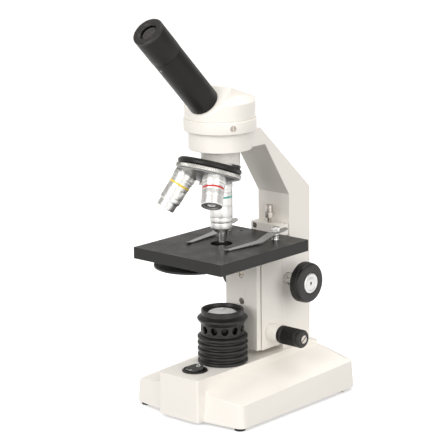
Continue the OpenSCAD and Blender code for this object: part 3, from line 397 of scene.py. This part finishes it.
# Only 30% clear, so the near-white colour shows matt: a painted reflection, whitening the condenser and lamp
# lenses as their glints do.
lens = glass("lens glass", (0.97, 0.97, 0.965), 0.06, clear=0.3)
dark_lens = glass("coated lens", (0.3, 0.2, 0.16), ior=1.6)
bulb_glass = glass("bulb glass", (0.97, 0.97, 0.95), 0.05)
mirror = turned_metal("reflector", (0.85, 0.85, 0.86), 0.08, lines=0.002)
ceramic = enamel("lamp holder ceramic", (0.74, 0.71, 0.62), 0.3, 0.02)
wire_skin = moulded("wire insulation", (0.12, 0.05, 0.02), 0.5)
red_ring = enamel("red ring paint", (0.55, 0.03, 0.03), 0.35, 0.01)
yellow_ring = enamel("yellow ring paint", (0.85, 0.6, 0.06), 0.35, 0.01)
green_ring = enamel("green ring paint", (0.12, 0.47, 0.4), 0.35, 0.01)
white_mark = enamel("white mark paint", (0.85, 0.85, 0.83), 0.5, 0.01)

# Finishes for bevelled faces: painted shade on cream, painted highlight on black enamel and black plastic.
EDGE_FINISH = {"cream_paint": cream_edge_shade, "black_enamel": black_edge_highlight, "black_plastic": plastic_edge_highlight}
SLOT_FINISH = {"cream_paint": cream, "black_enamel": black_enamel, "black_plastic": black_plastic,
               "rocker_plastic": rocker_black, "chrome": chrome, "steel": screw_steel,
               "grey_alloy": grey_alloy, "brass": brass, "lens_glass": lens, "rubber": rubber,
               "ceramic": ceramic, "mirror": mirror, "wire": wire_skin}
OWN_FINISH = {"clip_left": clip_steel, "clip_right": clip_steel, "head_screws": shaded_screw_steel,
              "carriage_screws": shaded_screw_steel, "lamp_bulb": bulb_glass}
node_slot = {s["node"]: s["material_slot"] for s in frame["record"]["subparts"]}
for node_name, thing in frame["nodes"].items():
    finish_of_node = OWN_FINISH.get(node_name, SLOT_FINISH[node_slot[node_name]])
    for held in thing.material_slots:
        held.material = finish_of_node


def place(piece, body, slot_name, material, *nodes):
    """Gives a piece its finish and the body it rides on, and hides the CAD nodes it stands for."""
    piece.data.materials.clear()
    piece.data.materials.append(material)
    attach(piece, body)
    if nodes:
        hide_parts(*nodes)
    return piece


def facing_out(piece, axis, material):
    """Faces that look away from an axis take a second finish."""
    mesh = piece.data
    mesh.materials.append(material)
    for face in mesh.polygons:
        centre = np.array(face.center) / MM - axis[0]
        radial = centre - axis[3] * np.dot(centre, axis[3])
        if np.dot(np.array(face.normal), radial) > 0.3 * np.linalg.norm(radial):
            face.material_index = len(mesh.materials) - 1


# ---------- castings with eased edges ----------

for node_name, width, body, slot_name in (
        ("base_casting", 1.3, "stand", "cream_paint"), ("arm_casting", 0.9, "stand", "cream_paint"),
        ("focus_block", 0.45, "slider", "cream_paint"), ("carriage_plate", 0.6, "carriage", "cream_paint"),
        ("slide_cap", 0.5, "slider", "cream_paint"), ("stage_plate", 0.7, "carriage", "black_enamel"),
        ("diaphragm_disc", 0.3, "diaphragm", "black_enamel"), ("cable_gland", 0.4, "stand", "black_plastic"),
        ("detent_spring", 0.3, "stand", "black_enamel"), ("head_screws", 0.15, "head", "steel"),
        ("cap_screws", 0.2, "slider", "steel"), ("carriage_screws", 0.25, "carriage", "steel"),
        ("stop_screw", 0.3, "slider", "steel"), ("foot_screws", 0.2, "stand", "steel"),
        ("tension_collars", 0.25, "stand", "chrome"), ("fine_shaft", 0.2, "fine_drive", "steel"),
        ("clip_left", 0.14, "left_clip", "steel"), ("clip_right", 0.14, "right_clip", "steel"),
        ("switch_rocker", 0.35, "rocker", "rocker_plastic")):
    finish = OWN_FINISH.get(node_name, SLOT_FINISH[slot_name])
    piece = place(eased(node_name, width), body, slot_name, finish, node_name)
    # The bevelled faces take an edge finish: painted shade on cream, painted highlight on black enamel and
    # black plastic, darker steel on the clips.
    edge_material = clip_edge if node_name.startswith("clip_") else EDGE_FINISH.get(slot_name)
    if edge_material:
        piece.data.materials.append(edge_material)
        piece.modifiers["eased edges"].material = 1

# ---------- head ----------

HEAD_BOTTOM, COLLAR_R, COLLAR_H, HEAD_R = 270.6, 34.4, 11.8, 33.4
FACE_C = TUBE_Z + 43.6
ROOF_Z, ROOF_SLOPE = 310.0, 0.365
HOUSING_HALF, SHOULDER_LOW, SHOULDER_HIGH = 22.0, 298.5, 304.3


def lower_of(a, c, blend):
    """The smaller of two heights, rounded where they cross: the usual quadratic soft minimum."""
    h = np.clip(0.5 + 0.5 * (c - a) / blend, 0, 1)
    return c * (1 - h) + a * h - blend * h * (1 - h)


def head_top(x, y):
    """Height of the head's upper surface. The 45 degree tube face and the sloping roof cap a flat-sided
    housing. Beside it the height falls steeply to a shoulder, which slopes on down to the rim."""
    slope = (SHOULDER_HIGH - SHOULDER_LOW) / (HEAD_R - HOUSING_HALF)
    shoulder = SHOULDER_LOW + slope * (HEAD_R - np.hypot(x, y))
    side = SHOULDER_HIGH + 14 * (HOUSING_HALF + 0.3 - abs(x))
    inside = -lower_of(-shoulder, -side, 3.0)
    return lower_of(lower_of(y + FACE_C, ROOF_Z - ROOF_SLOPE * y, 1.0), inside, 1.0)


def head_shell():
    """A dome on a polar grid: the top height inside, an elliptic rim of 0.9 mm, and then the wall down to the
    collar."""
    turns, rim = 288, 0.9
    angle = np.linspace(0, math.tau, turns, endpoint=False)[None, :]
    inner = np.linspace(0, HEAD_R - rim, 110)[:, None]
    x, y = inner * np.cos(angle), inner * np.sin(angle)
    rows = [np.stack([x, y, head_top(x, y)], axis=-1)]
    swing = np.linspace(0, math.pi / 2, 7)[1:, None]
    radius = HEAD_R - rim + rim * np.sin(swing)
    x, y = radius * np.cos(angle), radius * np.sin(angle)
    rows.append(np.stack([x, y, head_top(x, y) - rim * (1 - np.cos(swing))], axis=-1))
    x, y = HEAD_R * np.cos(angle), HEAD_R * np.sin(angle)
    brim = head_top(x, y) - rim
    down = np.linspace(0, 1, 14)[1:, None]
    floor = HEAD_BOTTOM + COLLAR_H + 0.3
    wall = brim * (1 - down) + floor * down
    rows.append(np.stack([x + 0 * wall, y + 0 * wall, wall], axis=-1))
    for radius in (HEAD_R - 0.3, 20.0, 0.0):
        level = np.full_like(angle, floor - 0.3)
        rows.append(np.stack([radius * np.cos(angle), radius * np.sin(angle), level], axis=-1))
    points = np.concatenate(rows, axis=0)
    points[..., 1] += OPTIC_Y
    return solid("head_shell", points.reshape(-1, 3), grid_faces(len(points), turns, False, True), 50)


head = head_shell()
place(head, "head", "cream_paint", cream, "head_casting")
collar_top = HEAD_BOTTOM + COLLAR_H - 0.1
collar = lathe("head_collar_ring", soften([(24, HEAD_BOTTOM), (COLLAR_R, HEAD_BOTTOM), (COLLAR_R, collar_top),
    (24, collar_top)], 0.7), optic(), turns=160)
place(collar, "head", "cream_paint", cream, "head_collar")

tube_end, tube_reach, tube_r = 102.6, 134.6, 14.7
cap_r = tube_r + 0.25
tube = lathe("eyepiece_tube_skin", soften([(11.6, 19.5), (13.2, 19.5), (13.2, 30.6), (tube_r - 0.5, 30.9),
    (tube_r, 31.8), (tube_r, tube_end), (11.6, tube_end)], 0.35), TUBE)
place(tube, "head", "black_enamel", tube_black, "eyepiece_tube")
barrel = lathe("eyepiece_barrel_skin", soften([(9.4, tube_end - 24), (11.5, tube_end - 24),
    (11.55, tube_end + 0.35), (cap_r, tube_end + 0.35), (cap_r, tube_reach - 3), (12, tube_reach - 3),
    (12, tube_reach - 9), (9.4, tube_reach - 9)], 0.3), TUBE)
place(barrel, "eyepiece", "black_plastic", barrel_black, "eyepiece_barrel")
cap = lathe("eyepiece_cap_ring", soften([(7.8, tube_reach - 2.9), (cap_r, tube_reach - 2.9),
    (cap_r, tube_reach - 1.0), (tube_r - 0.9, tube_reach), (9.6, tube_reach), (9.0, tube_reach - 0.6),
    (7.8, tube_reach - 1.9)], 0.35), TUBE)
place(cap, "eyepiece", "black_plastic", black_plastic, "eyepiece_cap")
eye_lens = lathe("eye_lens_dome", domed([(0, tube_reach - 8.8), (11.8, tube_reach - 8.8),
    (11.8, tube_reach - 6)], 8.6, tube_reach - 3.5, 1.2), TUBE, closed=False)
place(eye_lens, "eyepiece", "lens_glass", dark_lens, "eyepiece_lenses")

# ---------- nosepiece ----------

disc = lathe("nosepiece_disc_skin", soften([(4.1, 9), (29.5, 9), (30.4, 10), (30.4, 12.2), (28, 14.5),
    (4.1, 14.5)], 0.5), TURRET, turns=160)
place(disc, "stand", "black_enamel", black_enamel, "nosepiece_disc")
ring = lathe("turret_ring_knurled", soften([(28, 4.5), (30.4, 4.5), (31, 5.1), (31, 7.9), (30.4, 8.5),
    (28, 8.5)], 0.25), TURRET, turns=1080, ridges=((4.7, 8.3, 120, 0.35),), sharp=60)
place(ring, "nosepiece", "chrome", ring_chrome, "turret_ring")
cone = lathe("turret_cone", soften([(4.1, -5.2), (7.5, -5.2), (30, 3.5), (30.3, 4.2), (28, 4.2), (27, 8.6),
    (4.1, 8.6)], 0.5), TURRET, turns=160)
pads = [lathe(f"pad_{k}", soften([(5, -0.6), (10.9, -0.6), (10.9, 0.9), (5, 0.9)], 0.2), objective_line(k),
    turns=96) for k in range(3)]
place(joined("turret_cone", [cone] + pads), "nosepiece", "grey_alloy", grey_alloy, "turret_shell")


def barrel_radius(barrel, z):
    return float(np.interp(z, [p[1] for p in barrel], [p[0] for p in barrel]))


def objective(name, k, barrel, node, band, band_colour, grooves):
    """An objective turned from its outer profile, with a knurled collar, a painted band and cut grooves. The
    barrel is (radius, distance from the shoulder), and the band and the grooves are distances too."""
    axis = objective_line(k)
    inner = 4.0
    cut = []
    for r, z in [(inner, -3.9), (9.0, -3.9), (9.0, 0.95), (11.1, 0.95), (11.1, 5.5)] + barrel:
        for g in grooves:
            if cut and cut[-1][1] < g < z:
                edge = r + (cut[-1][0] - r) * (z - g) / (z - cut[-1][1])
                cut += [(edge, g - 0.3), (edge - 0.25, g - 0.2), (edge - 0.25, g + 0.2), (edge, g + 0.3)]
        cut.append((r, z))
    low, high = band
    piece = lathe(name, soften(cut + [(inner, barrel[-1][1])], 0.25, steps=2), axis, turns=576,
                  ridges=((1.25, 5.2, 36, 0.6),), sharp=50)
    place(piece, "nosepiece", "chrome", barrel_chrome, node)
    stripe = lathe(name + "_band", soften([(9.4, low), (barrel_radius(barrel, low) + 0.06, low),
        (barrel_radius(barrel, high) + 0.06, high), (9.4, high)], 0.05), axis, turns=160)
    place(stripe, "nosepiece", "chrome", band_colour)


objective("objective_4x_turned", 2, [(10.7, 5.9), (10.7, 8.4), (10.2, 8.8), (10.2, 19), (10.05, 19.4),
    (10.05, 27.4), (9.6, 28.2), (8.2, 28.2), (6.2, 27.0)], "objective_4x", (10.5, 12.3), red_ring, (14.0,))
objective("objective_10x_turned", 1, [(10.6, 5.9), (10.6, 8.4), (10.1, 8.8), (10.1, 29.6), (8.9, 31.2),
    (8.9, 37.4), (8.3, 38.3), (6.4, 38.3), (4.6, 36.9)], "objective_10x", (11.5, 13.4), yellow_ring,
    (17.0, 26.0))
objective("objective_40x_turned", 0, [(10.9, 5.9), (10.9, 37.4), (10.1, 38.0), (10.1, 38.9), (10.3, 39.3),
    (10.3, 44.0), (6.2, 47.9), (4.4, 47.9)], "objective_40x", (12.5, 14.4), green_ring, (9.0, 22.0, 33.0))
nose = lathe("objective_40x_nose", soften([(0, 36), (7, 36), (7, 43.9), (4.3, 43.9), (4.3, 57.0), (3.1, 58.0),
    (1.9, 58.0), (0, 57.6)], 0.3, closed=False), objective_line(0), closed=False)
place(nose, "objective_tip", "steel", chrome, "objective_nose")

# ---------- stage furniture ----------

post = soften([(0, 151), (2.5, 151), (2.5, 160.75), (3.9, 160.75), (3.8, 161.6), (3.5, 162.3), (3.5, 164.2),
    (3.2, 164.4), (3.2, 164.9), (3.5, 165.1), (3.5, 166.9), (2.5, 167.0), (2.5, 168.2), (3.6, 168.3),
    (4.1, 169.2), (4.1, 172.7), (3.4, 173.5), (0, 173.7)], 0.25, closed=False)
posts = [lathe(f"post_{side}", post, optic(0, side * 30.5, 43), closed=False, turns=384,
    ridges=((169.0, 172.8, 32, 0.3),)) for side in (-1, 1)]
place(joined("clip_posts_turned", posts), "carriage", "chrome", chrome, "clip_posts")
condenser = lathe("condenser_dome", domed([(0, 151), (9.4, 151)], 9.4, 153.1, 5), optic(), closed=False)
place(condenser, "carriage", "lens_glass", lens, "condenser_lens")

# ---------- focusing ----------

boss = soften([(3.6, 13.7), (7.0, 13.7), (7.0, 19.65), (8.5, 19.65), (8.5, 32.5), (3.6, 32.5)], 0.5)
bosses = [lathe(f"boss_{side}", boss, across(*FINE_SHAFT, side), turns=96) for side in (-1, 1)]
place(joined("fine_bosses_turned", bosses), "slider", "cream_paint", cream, "fine_bosses")

knob = soften([(3.6, 30.5), (6.6, 30.5), (6.6, 37.8), (8, 38.2), (18.6, 38.2), (19.7, 39.2), (19.7, 45.2),
    (19.1, 45.6), (19.1, 46.2), (19.6, 46.6), (19.0, 48.4), (17.8, 49.5), (10.6, 49.5), (10.0, 48.9),
    (10.0, 46.6), (3.6, 46.6)], 0.35)
knobs = [lathe(f"coarse_knob_{side}", knob, across(*COARSE_SHAFT, side), turns=720,
    ridges=((39.3, 45.1, 60, 0.25),), sharp=50) for side in (-1, 1)]
place(joined("coarse_knobs_moulded", knobs), "coarse_drive", "black_plastic", black_plastic, "coarse_knobs")
insert = soften([(1.3, 47.9), (1.3, 49.7), (2.0, 50.1), (5.2, 50.1), (5.6, 49.8), (7.2, 49.8), (7.6, 50.1),
    (9.2, 50.1), (9.9, 49.5), (9.9, 46.6), (1.3, 46.6)], 0.2)
inserts = [lathe(f"insert_{side}", insert, across(*COARSE_SHAFT, side)) for side in (-1, 1)]
place(joined("coarse_inserts_turned", inserts), "coarse_drive", "steel", satin_metal, "coarse_inserts")
grip = soften([(3.6, 32.8), (8.1, 32.8), (8.9, 33.7), (8.9, 37.0), (8.3, 37.4), (8.3, 38.0), (8.9, 38.4),
    (8.9, 54.1), (8.3, 54.5), (8.3, 55.1), (8.9, 55.5), (8.9, 59.1), (7.7, 60.6), (4.1, 60.6), (4.1, 52.2),
    (3.6, 52.2)], 0.3)
grips = [lathe(f"fine_knob_{side}", grip, across(*FINE_SHAFT, side), turns=480,
    ridges=((38.5, 54.0, 30, 0.8),), sharp=50) for side in (-1, 1)]
place(joined("fine_knobs_moulded", grips), "fine_drive", "black_plastic", black_plastic, "fine_knobs")

# ---------- lamp ----------

lamp_r, neck_r = 24.2, 20.9
ribs = [(19.0, 44.5), (lamp_r - 0.8, 44.5)]
for i in range(5):
    z = 46.2 + i * 5.9
    ribs += [(lamp_r, z - 1.1), (lamp_r, z + 1.1), (lamp_r - 2.3, z + 2.1)]
    ribs += [(lamp_r - 2.3, min(z + 3.8, 71.95))]
ribs += [(19.0, 71.95)]
place(lathe("lamp_ribs", soften(ribs, 0.7), optic(), turns=160), "stand", "black_plastic", black_plastic,
      "lamp_base_ring")


def perforated_neck(radius, hole, count, low, high, centre, turn):
    """One band of a cylinder with round holes. In each cell, rings run from the hole's circle out to the
    cell's edge, as (arc length, height), and wrap on to the cylinder."""
    spokes, rings = 48, 5
    a = np.linspace(0, math.tau, spokes, endpoint=False) + math.tau / spokes / 2
    half = math.pi * radius / count
    up, down = high - centre, centre - low
    reach = np.minimum(half / np.maximum(abs(np.cos(a)), 1e-9),
                       np.where(np.sin(a) > 0, up, down) / np.maximum(abs(np.sin(a)), 1e-9))
    corner = np.stack([np.cos(a) * reach, np.sin(a) * reach], 1)
    circle = np.stack([np.cos(a), np.sin(a)], 1) * hole
    t = np.linspace(0, 1, rings)[:, None, None]
    flat = circle * (1 - t) + corner * t
    cells, faces = [], []
    for k in range(count):
        theta = turn + math.tau * k / count + flat[..., 0] / radius
        cell = np.stack([radius * np.cos(theta), radius * np.sin(theta), centre + flat[..., 1]], -1)
        cells.append(cell.reshape(-1, 3))
        faces.append(grid_faces(rings, spokes, False, True) + k * rings * spokes)
    return np.concatenate(cells), np.concatenate(faces)


skirt = lathe("cover_spigot", soften([(17.5, 63.0), (18.85, 63.0), (18.85, 72.2), (neck_r, 72.2),
    (neck_r, 74.4), (17.5, 74.4)], 0.3), optic(), turns=160)
crown = lathe("cover_crown", soften([(17.5, 83.0), (neck_r, 83.0), (neck_r, 83.2), (lamp_r, 87.2),
    (lamp_r, 88.8), (20.35, 91.8), (20.35, 96.7), (18.7, 96.7), (17.8, 93.4), (15.2, 93.4), (15.2, 91.9),
    (17.5, 91.9)], 0.45), optic(), turns=160)
neck_points, neck_faces = perforated_neck(neck_r - 0.02, 3.65, 12, 74.2, 83.2, 78.7, math.radians(18))
neck = solid("cover_neck", neck_points + np.array([0, OPTIC_Y, 0]), neck_faces, 60)
wall = neck.modifiers.new("wall", "SOLIDIFY")
wall.thickness = 3.3 * MM
wall.offset = -1
place(joined("lamp_cover_shell", [skirt, crown]), "lamp_shade", "black_plastic", black_plastic, "lamp_cover")
place(neck, "lamp_shade", "black_plastic", black_plastic)
glass_cap = lathe("lamp_lens_dome", domed([(0, 90.3), (15.4, 90.3), (15.4, 91.8), (14.6, 92.1)],
    14.4, 92.2, 3.9), optic(), closed=False, turns=160)
place(glass_cap, "lamp_shade", "lens_glass", lens, "lamp_lens")
bowl = lathe("lamp_reflector", [(9.2, 62), (9.2, 58.1), (10.2, 58.1), (10.2, 61.2), (13.2, 66), (15.6, 73),
    (17, 80.5), (17, 81.5), (16.2, 81.5), (15.0, 74), (12.4, 66.6)], optic(), turns=128)
place(bowl, "stand", "mirror", mirror, "lamp_mirror")
facing_out(bowl, optic(), dark_metal)

# ---------- switch ----------

SWITCH_Y = -40
bezel = lathe("switch_ring", soften([(9.7, 31), (10.4, 31), (10.4, 44.5), (12.2, 44.55), (12.1, 45.4),
    (11.1, 46.3), (10.2, 46.3), (9.7, 45.5)], 0.3), optic(0, 0, SWITCH_Y))
floor_of_well = lathe("switch_floor", [(0, 20), (9.75, 20), (9.75, 31.2), (0, 31.2)], optic(0, 0, SWITCH_Y),
                      closed=False)
place(joined("switch_bezel_moulded", [bezel, floor_of_well]), "stand", "black_plastic", black_plastic,
      "switch_bezel")


def mark_on_rocker(points):
    """Points of the rocker's own level frame, tilted with it and carried to its pin."""
    tilt = math.radians(8)
    placed = np.array([(x, y * math.cos(tilt) - z * math.sin(tilt), y * math.sin(tilt) + z * math.cos(tilt))
                       for x, y, z in points])
    return placed + np.array([0, OPTIC_Y + SWITCH_Y, 43.5])


def rocker_face(y):
    """Height of the rocker's face above its pin: three straight runs."""
    return float(np.interp(abs(y), (0, 5, 9.35), (3.3, 3.7, 4.6)))


def bar_mark():
    """A flat bar, for ON."""
    corner = [(x, y, rocker_face(y) + z) for z in (-0.3, 0.1) for y in (-7.2, -4.2) for x in (-0.35, 0.35)]
    faces = [(0, 1, 3, 2), (4, 6, 7, 5), (0, 4, 5, 1), (2, 3, 7, 6), (0, 2, 6, 4), (1, 5, 7, 3)]
    return solid("switch_mark_on", mark_on_rocker(corner), faces)


def ring_mark():
    """A flat ring, for OFF."""
    angle = np.linspace(0, math.tau, 40, endpoint=False)
    rows = []
    for radius, z in ((1.35, -0.3), (1.35, 0.1), (1.9, 0.1), (1.9, -0.3)):
        for a in angle:
            y = 5.6 + radius * math.sin(a)
            rows.append((radius * math.cos(a), y, rocker_face(y) + z))
    return solid("switch_mark_off", mark_on_rocker(rows), grid_faces(4, 40, True, True))


place(bar_mark(), "rocker", "rocker_plastic", white_mark)
place(ring_mark(), "rocker", "rocker_plastic", white_mark)

# ---------- floor, lights and camera ----------


def studio():
    """A flat pale floor, three large soft lights and a pale world."""
    x, y = np.meshgrid(np.linspace(-6000, 6000, 41), np.linspace(-6000, 6000, 61))
    floor = solid("studio_floor", np.stack([x, y, np.full_like(x, -0.02)], -1).reshape(-1, 3),
                  grid_faces(61, 41, False, False))
    if floor.data.polygons[0].normal.z < 0:
        floor.data.flip_normals()
    paper = Finish("studio paper", (0.8, 0.8, 0.8), 0.9)
    paper.set("Emission Color", (1.0, 1.0, 1.0, 1.0))
    paper.set("Emission Strength", 0.45)
    floor.data.materials.append(paper.material)
    floor.visible_diffuse = False
    for name, energy, size, spot, aim in (
            ("key", 28.0, 1.4, (0.0, -2.0, 1.1), (0, 0, 0.2)),
            ("fill", 23.0, 1.8, (2.0, -0.6, 0.9), (0, 0, 0.15)),
            ("top", 16.0, 1.6, (0.2, 0.3, 2.4), (0, 0, 0.1))):
        lamp = bpy.data.lights.new(name, "AREA")
        lamp.energy = energy
        lamp.size = size
        holder = bpy.data.objects.new(name, lamp)
        spot, aim = np.array(spot, float), np.array(aim, float)
        back = unit(spot - aim)
        right = unit(np.cross((0, 0, 1), back))
        holder.matrix_world = pose_matrix(right, np.cross(back, right), back, spot)
        bpy.context.scene.collection.objects.link(holder)
    bpy.context.scene.world = room()
    bpy.context.scene.view_settings.view_transform = "Standard"


def room():
    """A room whose brightness depends on height alone: dim below, bright above, with darker bands that give
    polished metal something to reflect."""
    world = bpy.data.worlds.new("pale room")
    world.use_nodes = True
    nodes, links = world.node_tree.nodes, world.node_tree.links
    where = nodes.new("ShaderNodeTexCoord")
    split = nodes.new("ShaderNodeSeparateXYZ")
    height = nodes.new("ShaderNodeMapRange")
    height.inputs["From Min"].default_value = -1.0
    ramp = nodes.new("ShaderNodeValToRGB")
    links.new(where.outputs["Generated"], split.inputs["Vector"])
    links.new(split.outputs["Z"], height.inputs["Value"])
    links.new(height.outputs["Result"], ramp.inputs["Fac"])
    stops = ((0.0, 0.2), (0.45, 0.26), (0.5, 0.42), (0.545, 0.95), (0.63, 1.0), (0.67, 0.3), (0.74, 0.3),
             (0.79, 1.0), (0.9, 0.95), (1.0, 0.6))
    for at, _ in stops[1:-1]:
        ramp.color_ramp.elements.new(at)
    for i, (at, level) in enumerate(stops):
        ramp.color_ramp.elements[i].position = at
        ramp.color_ramp.elements[i].color = (level, level * 0.985, level * 0.96, 1)
    links.new(ramp.outputs["Color"], nodes["Background"].inputs["Color"])
    nodes["Background"].inputs["Strength"].default_value = 0.95
    return world


def pose_matrix(right, up, back, where):
    """A placing matrix from three directions and a point."""
    return Matrix([[right[i], up[i], back[i], where[i]] for i in range(3)] + [[0, 0, 0, 1]])


def camera():
    """Looks from the front right, a little above the stage, rolled by under a degree."""
    azimuth, elevation, roll = (math.radians(a) for a in (41.57, 13.32, -0.68))
    back = np.array([math.sin(azimuth) * math.cos(elevation), -math.cos(azimuth) * math.cos(elevation),
                     math.sin(elevation)])
    right = np.array([math.cos(azimuth), math.sin(azimuth), 0])
    up = np.cross(back, right)
    turned_right = right * math.cos(roll) + up * math.sin(roll)
    data = bpy.data.cameras.new("camera")
    data.sensor_width = 36
    data.lens = 150.43
    data.shift_x = -0.0080
    data.shift_y = 0.0007
    data.clip_end = 50
    eye = bpy.data.objects.new("camera", data)
    eye.matrix_world = pose_matrix(turned_right, np.cross(back, turned_right), back,
                                   np.array([1140.4, -1278.9 + OPTIC_Y, 585.8]) * MM)
    bpy.context.scene.collection.objects.link(eye)
    bpy.context.scene.camera = eye


studio()
camera()
